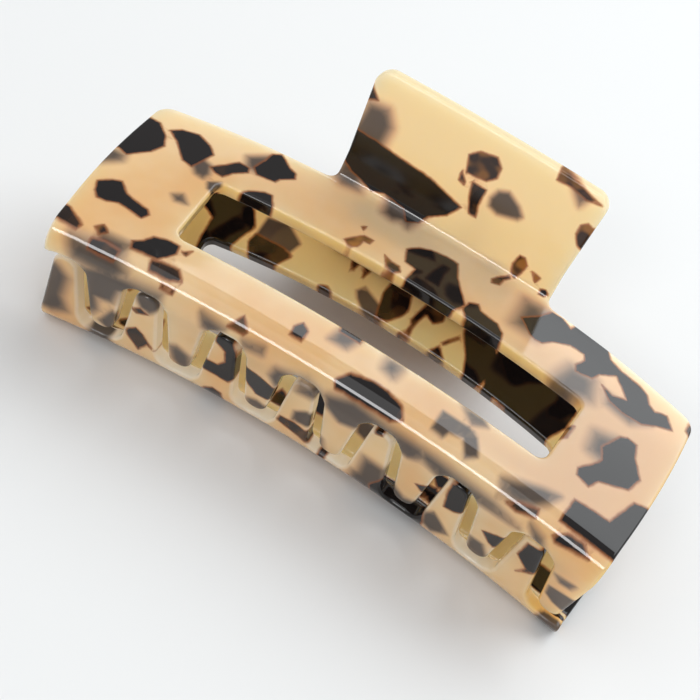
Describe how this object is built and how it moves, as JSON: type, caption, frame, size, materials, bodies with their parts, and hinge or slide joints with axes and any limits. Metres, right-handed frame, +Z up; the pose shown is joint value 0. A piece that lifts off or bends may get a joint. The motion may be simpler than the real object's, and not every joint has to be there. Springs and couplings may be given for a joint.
{
  "type": "claw hair clip",
  "caption": "Rectangular open-frame claw clip for hair: a pair of bent acetate jaws with interlocking teeth, sprung about a steel pin.",
  "frame": {"origin": "middle of the closed clip's bounding box, on the plane that it lies on", "axes": "+X along the hinge and the long side of the clip, +Y from the toothed walls towards the handles, +Z up; the clip is closed and lies on its lower handle and lower front bend"},
  "size_m": [0.115, 0.0688, 0.0535],
  "materials": {
    "tortoiseshell_acetate": "honey and peach translucent acetate with near-black brown flakes, tumbled to a high gloss",
    "plain_acetate": "plain golden translucent acetate, glued to the inside of the sheet",
    "pin_steel": "drawn steel",
    "spring_steel": "bright spring wire"
  },
  "bodies": {
    "lower_half": {"lower_jaw": "tortoiseshell_acetate", "lower_hinge_seat": "plain_acetate", "hinge_pin": "pin_steel", "pin_end_cap": "pin_steel", "torsion_spring": "spring_steel"},
    "upper_half": {"upper_jaw": "tortoiseshell_acetate", "upper_hinge_seat": "plain_acetate", "spring_end_turn": "spring_steel"}
  },
  "joints": [
    {"name": "jaw_hinge", "type": "hinge", "parent": "lower_half", "child": "upper_half", "pos_m": [0, 0.01792, 0.025], "axis": [-1, 0, 0], "range_deg": [0, 70], "stiffness_Nm_per_rad": 0.12, "springref_deg": -45.84}
  ]
}
